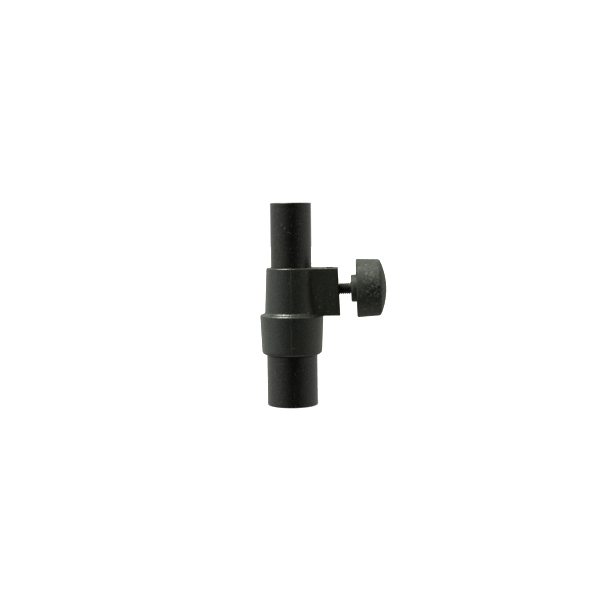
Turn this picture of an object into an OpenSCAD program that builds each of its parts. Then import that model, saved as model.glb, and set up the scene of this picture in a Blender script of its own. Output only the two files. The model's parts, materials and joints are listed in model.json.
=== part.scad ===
// Telescoping mast clamp of a music stand.
// A moulded collar sits on the thick lower tube. A knob with an M6 screw presses
// a pad against the thin upper tube, which slides and turns inside the collar.
// Millimetres. +Z runs up the mast, +X runs from the mast towards the knob.
// The origin is the centre of the lower tube's bottom end.

/* [Mast tubes] */
// Outer diameter of the lower tube
lower_tube_d = 25; // [22:0.5:30]
// Outer diameter of the upper tube
upper_tube_d = 20; // [16:0.5:21]
// Wall thickness of both tubes
tube_wall = 1.2; // [0.8:0.1:1.5]
// Height of the upper tube's top end above the origin
mast_top = 99.3; // [90:0.1:160]
// Height of the upper tube's lower end inside the lower tube
mast_foot = 12; // [10:0.5:20]

/* [Clamp collar] */
// Height of the cup's lower edge
cup_bottom = 25; // [15:0.1:28]
// Outer radius of the cup at its lower edge
cup_bottom_r = 14.84; // [14:0.02:17]
// Outer radius of the cup just under its rim
cup_rim_r = 15.68; // [15:0.02:18]
// Height of the rim's rounding centre
rim_z = 43.75; // [42:0.05:45]
// Height of the collar's top face
collar_top = 67.7; // [64:0.1:72]
// Outer radius of the ring at its foot
ring_foot_r = 13.25; // [12.6:0.05:14]
// Outer radius of the ring at the top
ring_top_r = 12.38; // [12:0.02:13.5]
// Slope of the shoulder below level, in degrees
shoulder_slope = 22; // [10:1:50]

/* [Screw block] */
// Distance from the mast's axis to the lower edge of the block's end face
block_reach = 24; // [22:0.1:28]
// Lean of the end face towards the mast, in degrees
block_draft = 2.7; // [0:0.1:4]
// Width of the block across the mast
block_w = 15; // [14:0.5:18]
// Height of the block's underside
block_bottom = 44.4; // [43.5:0.1:47]

/* [Screw and knob] */
// Lean of the screw's outer end above level, in degrees
screw_lean = 1.4; // [0:0.1:3]
// Height of the screw's axis just outside the block
screw_z = 57.2; // [54:0.1:60]
// Outer diameter of the screw's thread
thread_d = 6; // [5:0.5:7]
// Outer diameter of the knob at its back edge
knob_d = 28.9; // [24:0.1:36]
// Distance along the screw from the mast's axis to the hub's end
hub_back = 29.2; // [28.6:0.1:34]
// Diameter of the knob's hub
hub_d = 13.5; // [12:0.1:16]
// Number of stiffening ribs inside the knob
knob_ribs = 6; // [3:1:10]

/* [Hidden] */
$fn = 96;
// Overshoot of every cutting shape past the face that it opens
over = 1;
// Radial play of a sliding or turning fit
play = 0.05;

lower_r = lower_tube_d / 2;
lower_bore_r = lower_r - tube_wall;
upper_r = upper_tube_d / 2;
upper_bore_r = upper_r - tube_wall;

// Shallow groove in the outside of a tube: depth and length
groove_depth = 0.35;
groove_len = 1.4;
// Lower edge of the groove that holds the collar on the lower tube
seat_groove_z = cup_bottom - groove_depth;

// Radial play between the lower tube and the cup that it is pushed into
seat_play = 0.02;
cup_bore_r = lower_r + seat_play;

// The collar's bore slides on the painted upper tube
slide_play = 0.1;
collar_bore_r = upper_r + slide_play;
// Ledge inside the collar that stops the lower tube
ledge_z = 42.5;
cup_corner_r = 1.9;
rim_corner_r = 1.1;
ring_corner_r = 0.7;
root_fillet_r = 1;
bore_lead_in = 0.5;

// Screw axis: it passes through this point and leans up towards the knob
axis_x = 26.4;

// Square nut and its slot, measured along the screw from the mast's axis
nut_w = 10;
nut_t = 3.2;
nut_start = 17.65;
slot_gap = 0.05;
slot_side_gap = 0.1;

// Pressure pad
pad_r = 4;
pad_bore_r = pad_r + play;
pad_back = 14.2;
pad_socket_depth = 1;
pad_socket_r = 3.1;

// Screw: tip, hex head and holes
tip_start = pad_back - pad_socket_depth + play;
tip_chamfer = 0.8;
thread_r = thread_d / 2;
nut_bore_r = thread_r + play;
wall_hole_r = thread_r + 0.3;
head_start = 38;
head_len = 4;
head_flats = 10;
head_r = head_flats / 2 / cos(30);

// Knob
knob_r = knob_d / 2;
knob_back = 31.9;
knob_taper = 2.7;
knob_side_len = 10.39;
knob_edge_r = 1.8;
crown_r = 32;
knob_shell = 2.4;
core_floor = 40.6;
core_corner_r = 1.5;
rib_t = 1.6;
rib_start = 33.4;
hub_edge_r = 0.8;
hub_r = hub_d / 2;

// Plug in the upper tube's foot, measured up from the origin
plug_bottom = 3;
plug_foot_t = 1.5;
plug_collar_t = 1.4;
plug_shank_len = 10;
plug_foot_r = upper_r + 0.7;
groove_r = 9;
plug_hollow_r = 6.5;
plug_edge = 0.6;

// Split guide ring in the plug's groove
guide_bottom = plug_bottom + plug_foot_t + play;
guide_top = mast_foot - plug_collar_t - play;
guide_inner_r = groove_r + play;
guide_outer_r = lower_bore_r - play;
guide_slit = 1.5;
guide_edge = 0.4;

// Places a shape drawn along +Z on the screw's axis, at a distance from the mast
module on_screw(distance) {
    translate([axis_x, 0, screw_z])
        rotate([0, 90 - screw_lean, 0])
            translate([0, 0, distance - axis_x])
                children();
}

// Places a shape in the screw's frame, +X along the screw and +Z up
module beside_screw(distance) {
    translate([axis_x, 0, screw_z])
        rotate([0, -screw_lean, 0])
            translate([distance - axis_x, 0, 0])
                children();
}

// Tube with bevelled outer edges and a shallow groove round its outside.
// A rolled groove also pushes a bead of the same size into the bore.
module grooved_tube(radius, foot, top, groove_z, rolled) {
    bevel = 0.2;
    bore_r = radius - tube_wall;
    bead_r = bore_r - (rolled ? groove_depth : 0);
    groove_top = groove_z + groove_len;
    rotate_extrude()
        polygon([
            [bore_r, foot],
            [radius - bevel, foot],
            [radius, foot + bevel],
            [radius, groove_z],
            [radius - groove_depth, groove_z + groove_depth],
            [radius - groove_depth, groove_top - groove_depth],
            [radius, groove_top],
            [radius, top - bevel],
            [radius - bevel, top],
            [bore_r, top],
            [bore_r, groove_top],
            [bead_r, groove_top - groove_depth],
            [bead_r, groove_z + groove_depth],
            [bore_r, groove_z]
        ]);
}

// ---- lower tube ----

// The groove takes the lip of the collar and so keeps the collar on the tube
module lower_tube() {
    color("#1c1c1a")
        grooved_tube(lower_r, 0, ledge_z, seat_groove_z, false);
}

// ---- collar ----

// Half section of the collar without its bores
module collar_outline() {
    slope_x = sin(shoulder_slope);
    slope_z = cos(shoulder_slope);
    rim_x = cup_rim_r - rim_corner_r;
    // Centre of the rounding at the cup's lower edge, against the cup's tapered side
    taper = (cup_rim_r - cup_bottom_r) / (rim_z - cup_bottom);
    foot_x = cup_bottom_r + taper * cup_corner_r - cup_corner_r;
    // Centre of the fillet between ring and shoulder, on the shoulder's own slope
    root_x = ring_foot_r + root_fillet_r;
    run = root_x - root_fillet_r * slope_x - rim_x - rim_corner_r * slope_x;
    root_z = rim_z + rim_corner_r * slope_z - run * tan(shoulder_slope)
        + root_fillet_r * slope_z;
    difference() {
        union() {
            polygon([
                [0, cup_bottom],
                [foot_x, cup_bottom],
                [foot_x + cup_corner_r, cup_bottom + cup_corner_r],
                [cup_rim_r, rim_z],
                [rim_x + rim_corner_r * slope_x, rim_z + rim_corner_r * slope_z],
                [root_x - root_fillet_r * slope_x, root_z - root_fillet_r * slope_z],
                [ring_foot_r, root_z],
                [ring_top_r, collar_top - ring_corner_r],
                [ring_top_r - ring_corner_r, collar_top],
                [0, collar_top]
            ]);
            translate([foot_x, cup_bottom + cup_corner_r])
                circle(cup_corner_r);
            translate([rim_x, rim_z])
                circle(rim_corner_r);
            translate([ring_top_r - ring_corner_r, collar_top - ring_corner_r])
                circle(ring_corner_r);
        }
        translate([root_x, root_z])
            circle(root_fillet_r);
    }
}

// Rectangle from the origin with its two far corners rounded
module rounded_end(length, width, corner) {
    translate([0, -width / 2])
        square([length - corner, width]);
    translate([0, corner - width / 2])
        square([length, width - 2 * corner]);
    for (side = [-1, 1])
        translate([length - corner, side * (width / 2 - corner)])
            circle(corner);
}

// Block that carries the screw: rounded in plan, and rounded along its top edges
module screw_block() {
    corner = 0.9;
    top_edge = 0.7;
    height = collar_top - block_bottom;
    intersection() {
        translate([block_reach, 0, block_bottom])
            rotate([0, -block_draft, 0])
                translate([-block_reach, 0, -3])
                    linear_extrude(height + 8)
                        rounded_end(block_reach, block_w, corner);
        translate([2, 0, block_bottom])
            rotate([90, 0, 90])
                linear_extrude(block_reach)
                    rotate(90)
                        rounded_end(height, block_w, top_edge);
    }
}

// Slot for the nut, open at the top, square to the screw
module nut_slot() {
    beside_screw(nut_start - slot_gap)
        translate([0, -nut_w / 2 - slot_side_gap, -nut_w / 2 - slot_side_gap])
            cube([nut_t + 2 * slot_gap, nut_w + 2 * slot_side_gap, 30]);
}

module clamp_collar() {
    color("#232422")
        difference() {
            union() {
                rotate_extrude()
                    collar_outline();
                screw_block();
            }
            // Cup bore for the lower tube, narrower at the lip that snaps into its groove
            translate([0, 0, seat_groove_z + groove_len])
                cylinder(h = ledge_z - seat_groove_z - groove_len, r = cup_bore_r);
            translate([0, 0, cup_bottom - over])
                cylinder(h = ledge_z - cup_bottom, r = lower_r - groove_depth + play);
            translate([0, 0, seat_groove_z + groove_len - groove_depth])
                cylinder(h = groove_depth, r1 = lower_r - groove_depth + play, r2 = cup_bore_r);
            // Sliding bore for the upper tube, with a lead-in at the top
            translate([0, 0, ledge_z - over])
                cylinder(h = collar_top - ledge_z + 2 * over, r = collar_bore_r);
            translate([0, 0, collar_top - bore_lead_in])
                cylinder(
                    h = 2 * bore_lead_in,
                    r1 = collar_bore_r,
                    r2 = collar_bore_r + 2 * bore_lead_in
                );
            // Bore of the pressure pad, from the sliding bore to the nut slot
            on_screw(collar_bore_r - 3)
                cylinder(h = nut_start - collar_bore_r + 3.5, r = pad_bore_r);
            nut_slot();
            // Clearance hole of the screw in the end wall
            on_screw(nut_start + nut_t)
                cylinder(h = 8, r = wall_hole_r);
        }
}

module clamp_nut() {
    color("#8d8f90")
        difference() {
            beside_screw(nut_start)
                translate([0, -nut_w / 2, -nut_w / 2])
                    cube([nut_t, nut_w, nut_w]);
            on_screw(nut_start - over)
                cylinder(h = nut_t + 2 * over, r = nut_bore_r);
        }
}

// ---- screw, pad and knob ----

// Round pad with a hollow front that fits the upper tube and a socket for the screw
module pressure_pad() {
    color("#3a3a38")
        difference() {
            on_screw(upper_r - 2)
                cylinder(h = pad_back - upper_r + 2, r = pad_r);
            cylinder(h = collar_top, r = collar_bore_r);
            on_screw(pad_back - pad_socket_depth)
                cylinder(h = pad_socket_depth + over, r = pad_socket_r);
        }
}

module clamp_screw() {
    color("#4a4947")
        union() {
            on_screw(tip_start)
                cylinder(h = tip_chamfer, r1 = thread_r - tip_chamfer, r2 = thread_r);
            on_screw(tip_start + tip_chamfer)
                cylinder(h = head_start - tip_start - tip_chamfer, r = thread_r);
            on_screw(head_start)
                cylinder(h = head_len, r = head_r, $fn = 6);
        }
}

// Half section of the knob: tapered side, rounded edge and domed front.
// The edge's rounding runs smoothly into both the side and the dome.
module knob_outline() {
    back_edge = 0.5;
    side_end = knob_back + knob_side_len;
    side_x = knob_r - knob_side_len * tan(knob_taper);
    corner_x = side_x - knob_edge_r;
    reach = crown_r - knob_edge_r;
    dome_rise = sqrt(reach * reach - corner_x * corner_x);
    dome_centre = side_end - dome_rise;
    intersection() {
        union() {
            polygon([
                [0, knob_back],
                [knob_r - back_edge, knob_back],
                [knob_r, knob_back + back_edge],
                [side_x, side_end],
                [
                    corner_x + knob_edge_r * corner_x / reach,
                    side_end + knob_edge_r * dome_rise / reach
                ],
                [0, dome_centre + crown_r + 6]
            ]);
            translate([corner_x, side_end])
                circle(knob_edge_r);
        }
        translate([0, dome_centre])
            circle(crown_r);
        square([knob_r + over, dome_centre + crown_r + over]);
    }
}

// Round space between the hub and the knob's shell
module knob_core() {
    inner_r = knob_r - knob_shell;
    floor_r = inner_r - 0.5;
    polygon([
        [hub_r, knob_back - over],
        [inner_r, knob_back - over],
        [floor_r, core_floor - core_corner_r],
        [floor_r - core_corner_r, core_floor],
        [hub_r, core_floor]
    ]);
}

module knob_body() {
    color("#2e2f2d")
        difference() {
            union() {
                difference() {
                    on_screw(0)
                        rotate_extrude()
                            knob_outline();
                    on_screw(0)
                        rotate_extrude()
                            knob_core();
                }
                // Hub with a rounded end
                on_screw(0)
                    rotate_extrude()
                        union() {
                            translate([0, hub_back])
                                square([hub_r - hub_edge_r, core_floor - hub_back + over]);
                            translate([0, hub_back + hub_edge_r])
                                square([hub_r, core_floor - hub_back]);
                            translate([hub_r - hub_edge_r, hub_back + hub_edge_r])
                                circle(hub_edge_r);
                        }
                // Ribs between hub and shell
                for (i = [0 : knob_ribs - 1])
                    on_screw(rib_start)
                        rotate([0, 0, i * 360 / knob_ribs + 15])
                            translate([hub_r - 1, -rib_t / 2, 0])
                                cube([
                                    knob_r - knob_shell - hub_r + 1.6,
                                    rib_t,
                                    core_floor - rib_start + 0.5
                                ]);
            }
            // The screw is moulded in: its shank and hex head fill this hole
            on_screw(hub_back - over)
                cylinder(h = head_start - hub_back + over, r = thread_r);
            on_screw(head_start)
                cylinder(h = head_len, r = head_r, $fn = 6);
        }
}

// ---- upper mast ----

// The bead rolled in just above the plug keeps the plug in the tube
module upper_tube() {
    color("#20201e")
        grooved_tube(upper_r, mast_foot, mast_top, mast_foot + plug_shank_len, true);
}

module end_plug() {
    color("#141414")
        rotate_extrude()
            polygon([
                [plug_hollow_r, plug_bottom],
                [plug_foot_r - plug_edge, plug_bottom],
                [plug_foot_r, plug_bottom + plug_edge],
                [plug_foot_r, plug_bottom + plug_foot_t],
                [groove_r, plug_bottom + plug_foot_t],
                [groove_r, mast_foot - plug_collar_t],
                [upper_r, mast_foot - plug_collar_t],
                [upper_r, mast_foot],
                [upper_bore_r, mast_foot],
                [upper_bore_r, mast_foot + plug_shank_len - plug_edge],
                [upper_bore_r - plug_edge, mast_foot + plug_shank_len],
                [plug_hollow_r, mast_foot + plug_shank_len]
            ]);
}

module guide_ring() {
    color("#c9c5b8")
        difference() {
            rotate_extrude()
                polygon([
                    [guide_inner_r, guide_bottom],
                    [guide_outer_r - guide_edge, guide_bottom],
                    [guide_outer_r, guide_bottom + guide_edge],
                    [guide_outer_r, guide_top - guide_edge],
                    [guide_outer_r - guide_edge, guide_top],
                    [guide_inner_r, guide_top]
                ]);
            translate([-guide_slit / 2, 0, guide_bottom - over])
                cube([guide_slit, lower_r, guide_top - guide_bottom + 2 * over]);
        }
}

lower_tube();
clamp_collar();
clamp_nut();
pressure_pad();
clamp_screw();
knob_body();
guide_ring();
end_plug();
upper_tube();
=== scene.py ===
import json
import math

import bmesh
import bpy
from mathutils import Matrix, Vector


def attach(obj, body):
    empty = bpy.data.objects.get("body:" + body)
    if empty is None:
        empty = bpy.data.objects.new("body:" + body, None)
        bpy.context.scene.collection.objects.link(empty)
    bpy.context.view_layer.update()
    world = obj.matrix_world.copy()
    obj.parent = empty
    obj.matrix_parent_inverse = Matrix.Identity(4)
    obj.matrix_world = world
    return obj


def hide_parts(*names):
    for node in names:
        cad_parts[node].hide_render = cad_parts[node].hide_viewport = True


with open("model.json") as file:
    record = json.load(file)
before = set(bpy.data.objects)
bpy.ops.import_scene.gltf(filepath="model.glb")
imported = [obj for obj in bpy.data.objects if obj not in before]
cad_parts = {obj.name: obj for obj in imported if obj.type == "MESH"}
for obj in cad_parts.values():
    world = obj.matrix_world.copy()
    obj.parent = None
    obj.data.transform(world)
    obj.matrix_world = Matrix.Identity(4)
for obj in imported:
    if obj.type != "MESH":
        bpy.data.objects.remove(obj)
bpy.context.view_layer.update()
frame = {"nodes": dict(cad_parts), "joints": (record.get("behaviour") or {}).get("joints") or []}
nodes = frame["nodes"]
joints = {j["name"]: j for j in frame["joints"]}

MM = 0.001

# ---------- the studio's measures ----------

# Camera: bearing round the mast, positive towards the knob, height above level and roll
VIEW_BEARING = math.radians(2.37)
VIEW_HEIGHT = math.radians(4.514)
VIEW_ROLL = math.radians(-0.689)
VIEW_DISTANCE = 0.4926
VIEW_AIM = Vector((0.00410, 0.00021, 0.05168))
LENS_MM = 60
SENSOR_MM = 36
CLIP_NEAR = 0.01
CLIP_FAR = 20

# Floor: half its side, how far it lies under the part, its paint and its own glow
FLOOR_HALF = 3.0
FLOOR_DROP = 0.2 * MM
FLOOR_PAINT = (0.30, 0.298, 0.294, 1)
FLOOR_GLOW = (1.0, 0.99, 0.972, 1)
FLOOR_GLOW_STRENGTH = 0.86

# Colour of all the light on the part
LIGHT_COLOUR = (0.97, 1.0, 0.885, 1)
# Strength of the white that the camera sees behind the part
BACKDROP_STRENGTH = 1.05
# Light from each bearing, in degrees from behind the camera, positive to the right
SIDES = [
    (-180, 0.6), (-160, 0.45), (-140, 0.8), (-110, 0.95), (-76, 1.0), (-50, 0.55),
    (-26, 0.22), (-8, 0.01), (14, 0.01), (31, 0.075), (55, 0.36), (82, 0.68),
    (117, 0.75), (142, 0.65), (160, 0.45), (180, 0.6),
]
# Share of the side light that is left at each height, in degrees above level
SIDES_BY_HEIGHT = [(-60, 0.05), (-35, 0.35), (-15, 1.0), (90, 1.0)]
# Light from above and light thrown back from below, by height in degrees above level
ABOVE = [(12, 0.0), (32, 0.55), (50, 0.8), (90, 0.4)]
BELOW = [(-90, 0.9), (-70, 0.7), (-50, 0.3), (-25, 0.12), (-5, 0.0)]
# Key light: direction from the part, with the camera towards -Y, its strength, and the
# angles from its middle in degrees where it ends and where it is full
KEY = (-0.38, -0.13, 0.92)
KEY_STRENGTH = 28.0
KEY_EDGE = 20
KEY_FULL = 13


# ---------- node helpers ----------


class Shader:
    """A material's node tree, with short calls for the nodes that the finishes share."""

    def __init__(self, name):
        self.mat = bpy.data.materials.new(name)
        self.mat.use_nodes = True
        self.tree = self.mat.node_tree
        self.nodes = self.tree.nodes
        self.bsdf = self.nodes["Principled BSDF"]
        self.coords = self.nodes.new("ShaderNodeTexCoord").outputs["Object"]

    def link(self, a, b):
        self.tree.links.new(a, b)

    def put(self, socket, value):
        """Links value to the socket if it is a socket too, or else sets it."""
        if isinstance(value, bpy.types.NodeSocket):
            self.link(value, socket)
        else:
            socket.default_value = value

    def stretched(self, x, y, z):
        """The piece's coordinates times a scale for each axis."""
        m = self.nodes.new("ShaderNodeMapping")
        m.inputs["Scale"].default_value = (x, y, z)
        self.link(self.coords, m.inputs["Vector"])
        return m.outputs["Vector"]

    def noise(self, per_metre, detail, roughness, vector=None, distortion=0.0):
        n = self.nodes.new("ShaderNodeTexNoise")
        n.inputs["Scale"].default_value = per_metre
        n.inputs["Detail"].default_value = detail
        n.inputs["Roughness"].default_value = roughness
        n.inputs["Distortion"].default_value = distortion
        self.link(vector or self.coords, n.inputs["Vector"])
        return n.outputs["Fac"]

    def cells(self, per_metre):
        n = self.nodes.new("ShaderNodeTexVoronoi")
        n.inputs["Scale"].default_value = per_metre
        self.link(self.coords, n.inputs["Vector"])
        return n.outputs["Distance"]

    def span(self, value, low, high, to_low=0.0, to_high=1.0, smooth=False):
        """Maps low..high onto to_low..to_high and holds the ends."""
        n = self.nodes.new("ShaderNodeMapRange")
        n.interpolation_type = "SMOOTHSTEP" if smooth else "LINEAR"
        n.clamp = True
        self.link(value, n.inputs["Value"])
        ends = zip(("From Min", "From Max", "To Min", "To Max"), (low, high, to_low, to_high))
        for key, v in ends:
            n.inputs[key].default_value = v
        return n.outputs["Result"]

    def math(self, operation, a, b=0.0):
        n = self.nodes.new("ShaderNodeMath")
        n.operation = operation
        self.put(n.inputs[0], a)
        self.put(n.inputs[1], b)
        return n.outputs["Value"]

    def times(self, a, b):
        return self.math("MULTIPLY", a, b)

    def plus(self, a, b):
        return self.math("ADD", a, b)

    def mix(self, factor, a, b):
        """Colour a where factor is 0, colour b where it is 1."""
        n = self.nodes.new("ShaderNodeMix")
        n.data_type = "RGBA"
        self.put(n.inputs["Factor"], factor)
        self.put(n.inputs[6], a)
        self.put(n.inputs[7], b)
        return n.outputs[2]

    def axes(self):
        n = self.nodes.new("ShaderNodeSeparateXYZ")
        self.link(self.coords, n.inputs["Vector"])
        return n.outputs["X"], n.outputs["Y"], n.outputs["Z"]

    def distance_to(self, point):
        n = self.nodes.new("ShaderNodeVectorMath")
        n.operation = "DISTANCE"
        self.link(self.coords, n.inputs[0])
        n.inputs[1].default_value = point
        return n.outputs["Value"]

    def bump(self, layers):
        """Chains bumps of (height socket, depth in metres, strength), finest last."""
        last = None
        for height, depth, strength in layers:
            b = self.nodes.new("ShaderNodeBump")
            b.inputs["Strength"].default_value = strength
            b.inputs["Distance"].default_value = depth
            self.link(height, b.inputs["Height"])
            if last is not None:
                self.link(last, b.inputs["Normal"])
            last = b.outputs["Normal"]
        self.link(last, self.bsdf.inputs["Normal"])

    def finish(self, colour, roughness, metallic=0.0, specular=0.5):
        self.put(self.bsdf.inputs["Base Color"], colour)
        self.put(self.bsdf.inputs["Roughness"], roughness)
        self.bsdf.inputs["Metallic"].default_value = metallic
        self.put(self.bsdf.inputs["Specular IOR Level"], specular)
        return self.mat


def rgb(r, g, b):
    return (r, g, b, 1.0)


# Range that most of a noise's values lie in, wide and narrow
MOST = (0.3, 0.7)
CORE = (0.32, 0.68)


# ---------- powder coat, on both tubes ----------

COAT_DARK = rgb(0.0006, 0.0007, 0.0004)
COAT_LIGHT = rgb(0.0015, 0.0016, 0.0012)
# Pale colour painted on some grains as glints
COAT_GLINT_PAINT = rgb(0.175, 0.185, 0.155)
COAT_RUB = rgb(0.05, 0.05, 0.043)


def powder_coat():
    """Satin black powder coat: gritty orange peel, grains with painted glints, faint sliding marks along
    the tube.
    """
    s = Shader("black_powder_coat")
    peel = s.noise(1150, 2, 0.55)
    fine = s.noise(4200, 3, 0.6)
    grains = s.span(s.cells(1250), 0.12, 0.24, 1.0, 0.0)
    # Painted glints: only the grains in some patches get a pale colour, standing in for light they catch
    lit = s.times(grains, s.span(s.noise(620, 2, 0.5), 0.52, 0.64))
    grit = s.noise(1700, 1, 0.5)
    rubs = s.span(s.noise(1, 4, 0.7, s.stretched(2600, 2600, 60)), 0.62, 0.78)
    cloud = s.noise(70, 3, 0.5)
    base = s.mix(s.span(cloud, *MOST), COAT_DARK, COAT_LIGHT)
    base = s.mix(s.times(lit, 0.8), base, COAT_GLINT_PAINT)
    base = s.mix(s.times(rubs, 0.16), base, COAT_RUB)
    rough = s.plus(s.span(fine, 0.2, 0.8, 0.26, 0.38), s.times(rubs, 0.10))
    s.bump([(peel, 0.06 * MM, 0.7), (grains, 0.05 * MM, 0.6), (fine, 0.012 * MM, 0.6)])
    return s.finish(base, rough, specular=s.span(grit, *CORE, 0.33, 0.66))


# ---------- nylon, on the collar and the knob ----------

NYLON_GRAIN = rgb(0.060, 0.064, 0.056)
NYLON_NICK = rgb(0.13, 0.135, 0.12)
SMEAR_DARK = rgb(0.011, 0.012, 0.010)
SMEAR_PALE = rgb(0.075, 0.082, 0.078)

# Scuffed spot on the knob: its middle in the knob's own coordinates, where it is full, where it ends
SCUFF = nodes["knob_body"].matrix_world.inverted() @ Vector((0.0401, -0.0142, 0.0568))
SCUFF_FULL = 2.2 * MM
SCUFF_END = 5.6 * MM
SCUFF_DARK = rgb(0.0012, 0.0012, 0.0012)
SCUFF_PALE = rgb(0.12, 0.132, 0.124)

# Parting line of the collar's mould: its place, half its width at the crest and at the foot
SEAM_X = 0.38 * MM
SEAM_CREST = 0.04 * MM
SEAM_FOOT = 0.20 * MM
SEAM_COLOUR = rgb(0.075, 0.078, 0.068)
# Painted reflection to the left of the line: a paler, bluish tone mixed half and half with the collar's
# own colour
LEFT_PAINTED_REFLECTION = rgb(0.0155, 0.0175, 0.0185)


def handled(s, base, shine, amount):
    """Dark and pale patches, small dents and a scuffed spot: new base, new shine and a bump layer."""
    smear = s.noise(190, 4, 0.65, None, 1.2)
    base = s.mix(s.span(smear, 0.42, 0.62, 0.0, amount), base, SMEAR_DARK)
    pale = s.noise(700, 3, 0.7, None, 0.8)
    base = s.mix(s.span(pale, 0.54, 0.68, 0.0, amount), base, SMEAR_PALE)
    marks = s.noise(1, 3, 0.7, s.stretched(620, 620, 900), 1.5)
    spot = s.span(s.distance_to(SCUFF), SCUFF_FULL, SCUFF_END, 1.0, 0.0, smooth=True)
    dull = s.times(spot, s.span(marks, 0.50, 0.56))
    base = s.mix(dull, base, SCUFF_DARK)
    base = s.mix(s.times(spot, s.span(marks, 0.44, 0.38, 0.0, 0.7)), base, SCUFF_PALE)
    shine = s.times(shine, s.math("SUBTRACT", 1.0, s.times(dull, 0.9)))
    return base, shine, (smear, 0.16 * MM, 0.5)


def parting_line_and_painted_reflection(s, base, rough):
    """The mould's parting line, with a painted reflection on its left side and a rougher skin on its
    right.
    """
    x, _, _ = s.axes()
    side = s.math("SUBTRACT", x, SEAM_X)
    line = s.span(s.math("ABSOLUTE", side), SEAM_CREST, SEAM_FOOT, 1.0, 0.0, smooth=True)
    right = s.span(side, -0.1 * MM, 0.1 * MM)
    # Painted reflection: left of the line the collar is paler and bluish
    base = s.mix(right, s.mix(0.5, base, LEFT_PAINTED_REFLECTION), base)
    rough = s.plus(rough, s.times(right, 0.07))
    # The line comes and goes along its length
    run = s.span(s.noise(1, 2, 0.5, s.stretched(30, 30, 420)), 0.45, 0.60, 0.05, 1.0)
    base = s.mix(s.times(s.times(line, run), 0.38), base, SEAM_COLOUR)
    return base, rough, (line, 0.06 * MM, 1.0)


def nylon(name, dark, light, rough_range, shine_range, seam_and_painted_reflection=False, wear=0.0):
    """Black glass-filled nylon with a fine spark-eroded grain, and wear or a parting line with a painted
    reflection on its left side if asked.
    """
    s = Shader(name)
    grain = s.noise(1500, 3, 0.7)
    fine = s.noise(5200, 3, 0.65)
    pits = s.cells(1900)
    flow = s.noise(1, 3, 0.5, s.stretched(160, 160, 55), 0.6)
    base = s.mix(s.span(flow, *MOST), dark, light)
    base = s.mix(s.span(grain, 0.56, 0.78, 0.0, 0.40), base, NYLON_GRAIN)
    # Dust and pale nicks, sparse
    nicks = s.span(s.noise(760, 1, 0.4), 0.735, 0.80)
    base = s.mix(s.times(nicks, 0.6), base, NYLON_NICK)
    rough = s.span(grain, 0.25, 0.75, *rough_range)
    shine = s.span(s.noise(1650, 2, 0.6), *CORE, *shine_range)
    layers = [
        (s.noise(420, 2, 0.5), 0.03 * MM, 0.35),
        (pits, 0.05 * MM, 0.5),
        (grain, 0.10 * MM, 0.8),
        (fine, 0.015 * MM, 0.7),
    ]
    if wear:
        base, shine, layer = handled(s, base, shine, wear)
        layers.insert(0, layer)
    if seam_and_painted_reflection:
        base, rough, layer = parting_line_and_painted_reflection(s, base, rough)
        layers.insert(0, layer)
    s.bump(layers)
    return s.finish(base, rough, specular=shine)


# ---------- steel, on the nut and the screw ----------

# Radii between which the painted shade in the thread's roots fades out
SHADE_FULL_R = 2.62 * MM
SHADE_END_R = 2.96 * MM
# Colour of the painted shade in the thread's roots
ROOT_SHADE = rgb(0.004, 0.004, 0.0035)


def steel(name, dark, light, rough_range, metallic=1.0, root_shade=False):
    """Machined steel with fine tool marks and uneven oxide; painted shade darkens the thread's roots if
    asked.
    """
    s = Shader(name)
    marks = s.noise(1, 3, 0.6, s.stretched(9000, 900, 900))
    patches = s.noise(500, 4, 0.6)
    base = s.mix(s.span(patches, *MOST), dark, light)
    if root_shade:
        x, y, _ = s.axes()
        radius = s.math("SQRT", s.plus(s.times(x, x), s.times(y, y)))
        # Painted shade: darker towards the thread's roots, by radius
        base = s.mix(s.span(radius, SHADE_FULL_R, SHADE_END_R), ROOT_SHADE, base)
    rough = s.plus(s.span(patches, *MOST, *rough_range), s.span(marks, *MOST, 0.0, 0.06))
    s.bump([(patches, 0.01 * MM, 0.3), (marks, 0.006 * MM, 0.5)])
    return s.finish(base, rough, metallic=metallic)


# ---------- plain plastics, on the pieces inside ----------


def plain_plastic(name, dark, light, rough):
    """Turned or moulded plastic with faint rings and mottling."""
    s = Shader(name)
    mottle = s.noise(700, 3, 0.55)
    rings = s.noise(1, 2, 0.5, s.stretched(300, 300, 9000))
    base = s.mix(s.span(mottle, *MOST), dark, light)
    s.bump([(mottle, 0.02 * MM, 0.4), (rings, 0.008 * MM, 0.5)])
    return s.finish(base, s.span(rings, *MOST, rough - 0.05, rough + 0.08))


# ---------- the finish of each node ----------

coat = powder_coat()
finishes = {
    "lower_tube": coat,
    "upper_tube": coat,
    "clamp_collar": nylon(
        "collar_nylon", rgb(0.0086, 0.0095, 0.0068), rgb(0.0137, 0.0147, 0.0114),
        (0.18, 0.32), (0.26, 0.66), seam_and_painted_reflection=True,
    ),
    "knob_body": nylon(
        "knob_nylon", rgb(0.0148, 0.0160, 0.0127), rgb(0.0216, 0.0232, 0.0196),
        (0.44, 0.62), (0.12, 0.42), wear=0.8,
    ),
    "clamp_nut": steel("zinc_nut", rgb(0.20, 0.20, 0.19), rgb(0.34, 0.34, 0.32), (0.36, 0.52)),
    "pressure_pad": plain_plastic(
        "pad_nylon", rgb(0.035, 0.035, 0.033), rgb(0.055, 0.055, 0.05), 0.45,
    ),
    "guide_ring": plain_plastic(
        "guide_acetal", rgb(0.55, 0.53, 0.45), rgb(0.66, 0.64, 0.56), 0.35,
    ),
    "end_plug": plain_plastic(
        "plug_polyethylene", rgb(0.012, 0.012, 0.012), rgb(0.02, 0.02, 0.02), 0.42,
    ),
}


def dress(obj, mat):
    obj.data.materials.clear()
    obj.data.materials.append(mat)


for name, mat in finishes.items():
    dress(nodes[name], mat)


# ---------- the screw, with its real thread ----------

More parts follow.
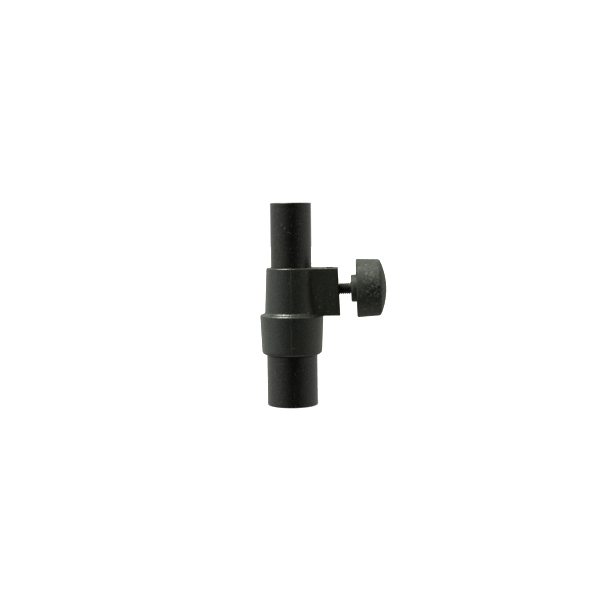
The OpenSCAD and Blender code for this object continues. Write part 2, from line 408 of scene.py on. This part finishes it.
# The screw's own frame: Z along the knob's axis, X level and square to the mast
AXIS = Vector(joints["knob_turn"]["axis"]).normalized()
PIVOT = Vector(joints["knob_turn"]["pos_m"])
SIDE = Vector((0, 1, 0))
UP = AXIS.cross(SIDE)
SCREW_FRAME = Matrix((
    (SIDE.x, UP.x, AXIS.x, PIVOT.x),
    (SIDE.y, UP.y, AXIS.y, PIVOT.y),
    (SIDE.z, UP.z, AXIS.z, PIVOT.z),
    (0, 0, 0, 1),
))

# Distances from the mast's axis: the screw's tip, its thread's end and its head
TIP = 13.25 * MM
THREAD_END = 30.5 * MM
HEAD = 38.0 * MM
HEAD_END = 42.0 * MM

# An M6 thread of 1 mm pitch
PITCH = 1.0 * MM
CREST_R = 3.0 * MM
ROOT_R = 2.40 * MM
# Radius at the tip, from where a chamfer of 45 degrees runs up to the thread
TIP_R = 2.2 * MM
# How far the last turn still stands above the root where it ends
RUNOUT = 0.2 * MM
# Share of the pitch and share of the thread's depth, round one tooth
TOOTH = [
    (0.0, 0.0), (0.06, 0.03), (0.15, 0.16), (0.33, 0.86), (0.39, 1.0),
    (0.63, 1.0), (0.69, 0.86), (0.87, 0.16), (0.95, 0.03),
]
# Points round one turn
TURN = 64

# Plain shank and hex head, inside the knob
SHANK_R = 2.6 * MM
SHANK_SIDES = 48
HEAD_R = 5.0 * MM / math.cos(math.pi / 6)
HEAD_SIDES = 6

# Points closer than this are one point; edges sharper than this stay hard
WELD = 1e-7
HARD_EDGE = math.radians(40)


def along(distance):
    """Height in the screw's own frame of a distance from the mast's axis."""
    return distance - PIVOT.x


def round_point(bm, r, angle, distance):
    return bm.verts.new((r * math.cos(angle), r * math.sin(angle), along(distance)))


def thread_radius(depth, distance):
    """Radius at a share of the thread's depth, less at the tip's chamfer and at the run-out."""
    r = ROOT_R + (CREST_R - ROOT_R) * depth
    r = min(r, TIP_R + (distance - TIP), CREST_R)
    if distance > THREAD_END - PITCH:
        fade = (THREAD_END - distance) / PITCH
        r = min(r, ROOT_R + (CREST_R - ROOT_R) * fade + RUNOUT)
    return r


def add_thread(bm):
    """A helical skin: rows of points follow the tooth's outline and climb one pitch each turn."""
    rows = len(TOOTH)
    turns = int((THREAD_END - TIP) / PITCH) + 2
    last = turns * rows + rows
    grid = {}
    for k in range(last + 1):
        share, depth = TOOTH[k % rows]
        start = TIP - PITCH + (k // rows + share) * PITCH
        for i in range(TURN):
            d = min(max(start + PITCH * i / TURN, TIP), THREAD_END)
            grid[k, i] = round_point(bm, thread_radius(depth, d), 2 * math.pi * i / TURN, d)
    for k in range(last):
        for i in range(TURN):
            if i + 1 < TURN:
                quad = (grid[k, i], grid[k, i + 1], grid[k + 1, i + 1], grid[k + 1, i])
            elif k + rows + 1 <= last:
                # One turn on, the helix meets the row that is one tooth higher
                quad = (grid[k, i], grid[k + rows, 0], grid[k + rows + 1, 0], grid[k + 1, i])
            else:
                continue
            bm.faces.new(quad)
    bmesh.ops.remove_doubles(bm, verts=bm.verts, dist=WELD)
    open_edges = [e for e in bm.edges if e.is_boundary]
    bmesh.ops.holes_fill(bm, edges=open_edges, sides=0)


def add_prism(bm, r, low, high, sides):
    """A closed prism on the screw's axis."""
    rings = [
        [round_point(bm, r, 2 * math.pi * i / sides, d) for i in range(sides)]
        for d in (low, high)
    ]
    for i in range(sides):
        j = (i + 1) % sides
        bm.faces.new((rings[0][i], rings[0][j], rings[1][j], rings[1][i]))
    bm.faces.new(rings[1])
    bm.faces.new(list(reversed(rings[0])))


def make_screw():
    bm = bmesh.new()
    add_thread(bm)
    # The shank starts inside the last turn
    add_prism(bm, SHANK_R, THREAD_END - PITCH, HEAD, SHANK_SIDES)
    add_prism(bm, HEAD_R, HEAD, HEAD_END, HEAD_SIDES)
    bmesh.ops.recalc_face_normals(bm, faces=bm.faces)
    for e in bm.edges:
        e.smooth = len(e.link_faces) != 2 or e.calc_face_angle(0) < HARD_EDGE
    for f in bm.faces:
        f.smooth = True
    mesh = bpy.data.meshes.new("screw_thread")
    bm.to_mesh(mesh)
    bm.free()
    obj = bpy.data.objects.new("screw_thread", mesh)
    bpy.context.scene.collection.objects.link(obj)
    obj.matrix_world = SCREW_FRAME
    dress(obj, steel(
        "blackened_steel", rgb(0.010, 0.010, 0.009), rgb(0.040, 0.040, 0.037),
        (0.24, 0.38), metallic=0.3, root_shade=True,
    ))
    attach(obj, "knob")
    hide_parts("clamp_screw")


# ---------- floor, light and camera ----------


def make_floor():
    """A pale floor that glows as the photo's white ground does."""
    mesh = bpy.data.meshes.new("floor")
    corners = [(x * FLOOR_HALF, y * FLOOR_HALF, 0) for x, y in ((-1, -1), (1, -1), (1, 1), (-1, 1))]
    mesh.from_pydata(corners, [], [(0, 1, 2, 3)])
    floor = bpy.data.objects.new("floor", mesh)
    bpy.context.scene.collection.objects.link(floor)
    floor.location.z = -FLOOR_DROP
    mat = bpy.data.materials.new("pale_floor")
    mat.use_nodes = True
    b = mat.node_tree.nodes["Principled BSDF"]
    b.inputs["Base Color"].default_value = FLOOR_PAINT
    b.inputs["Roughness"].default_value = 1.0
    b.inputs["Specular IOR Level"].default_value = 0.0
    b.inputs["Emission Color"].default_value = FLOOR_GLOW
    b.inputs["Emission Strength"].default_value = FLOOR_GLOW_STRENGTH
    floor.data.materials.append(mat)
    # The light on the part from below is the world's, so the floor throws none on it
    floor.visible_diffuse = False
    floor.visible_glossy = False


def make_world():
    """Soft light from both sides, above, below and the far side, and next to none from the camera's."""
    world = bpy.data.worlds.new("studio")
    bpy.context.scene.world = world
    world.use_nodes = True
    tree = world.node_tree
    tree.nodes.clear()
    add, link = tree.nodes.new, tree.links.new

    def calc(operation, a, b=0.0):
        n = add("ShaderNodeMath")
        n.operation = operation
        for socket, v in zip(n.inputs, (a, b)):
            if isinstance(v, bpy.types.NodeSocket):
                link(v, socket)
            else:
                socket.default_value = v
        return n.outputs[0]

    def ramp(value, stops):
        n = add("ShaderNodeValToRGB")
        link(value, n.inputs["Fac"])
        e = n.color_ramp.elements
        while len(e) > 1:
            e.remove(e[-1])
        for k, (at, v) in enumerate(stops):
            stop = e.new(at) if k else e[0]
            stop.position = at
            stop.color = (v, v, v, 1)
        return n.outputs["Color"]

    direction = add("ShaderNodeTexCoord").outputs["Generated"]
    xyz = add("ShaderNodeSeparateXYZ")
    link(direction, xyz.inputs[0])
    x, y, z = xyz.outputs
    # Bearing in turns plus a half, so 0.5 is behind the camera and more is to the right
    turn = 2 * math.pi
    bearing = calc("ARCTAN2", x, calc("MULTIPLY", y, -1.0))
    bearing = calc("ADD", calc("DIVIDE", bearing, turn), 0.5 - VIEW_BEARING / turn)
    around = ramp(bearing, [(d / 360 + 0.5, v) for d, v in SIDES])
    # Height in half turns plus a half, so 0.5 is level and 1 is straight up
    lift = calc("ADD", calc("DIVIDE", calc("ARCSINE", z), math.pi), 0.5)
    share, above, below = (
        ramp(lift, [(d / 180 + 0.5, v) for d, v in stops]) for stops in (SIDES_BY_HEIGHT, ABOVE, BELOW)
    )
    total = calc("ADD", calc("ADD", calc("MULTIPLY", around, share), above), below)
    # The key light, a round patch of sky
    dot = add("ShaderNodeVectorMath")
    dot.operation = "DOT_PRODUCT"
    link(direction, dot.inputs[0])
    dot.inputs[1].default_value = Matrix.Rotation(VIEW_BEARING, 3, "Z") @ Vector(KEY).normalized()
    edge, full = (math.cos(math.radians(d)) for d in (KEY_EDGE, KEY_FULL))
    key = ramp(dot.outputs["Value"], [(edge, 0.0), (full, 1.0)])
    total = calc("ADD", total, calc("MULTIPLY", key, KEY_STRENGTH))
    light = add("ShaderNodeBackground")
    light.inputs["Color"].default_value = LIGHT_COLOUR
    link(total, light.inputs["Strength"])
    # The camera itself sees plain white
    white = add("ShaderNodeBackground")
    white.inputs["Color"].default_value = (1.0, 1.0, 1.0, 1)
    white.inputs["Strength"].default_value = BACKDROP_STRENGTH
    pick = add("ShaderNodeMixShader")
    link(add("ShaderNodeLightPath").outputs["Is Camera Ray"], pick.inputs[0])
    link(light.outputs[0], pick.inputs[1])
    link(white.outputs[0], pick.inputs[2])
    link(pick.outputs[0], add("ShaderNodeOutputWorld").inputs[0])


def make_camera():
    data = bpy.data.cameras.new("camera")
    data.sensor_width = SENSOR_MM
    data.lens = LENS_MM
    data.clip_start = CLIP_NEAR
    data.clip_end = CLIP_FAR
    cam = bpy.data.objects.new("camera", data)
    bpy.context.scene.collection.objects.link(cam)
    bpy.context.scene.camera = cam
    back = Vector((
        math.sin(VIEW_BEARING) * math.cos(VIEW_HEIGHT),
        -math.cos(VIEW_BEARING) * math.cos(VIEW_HEIGHT),
        math.sin(VIEW_HEIGHT),
    ))
    cam.location = VIEW_AIM + back * VIEW_DISTANCE
    look = (-back).to_track_quat("-Z", "Y").to_matrix() @ Matrix.Rotation(VIEW_ROLL, 3, "Z")
    cam.rotation_euler = look.to_euler()


make_screw()
make_floor()
make_world()
make_camera()
view = bpy.context.scene.view_settings
view.view_transform = "Standard"
view.look = "None"
view.exposure = 0.0
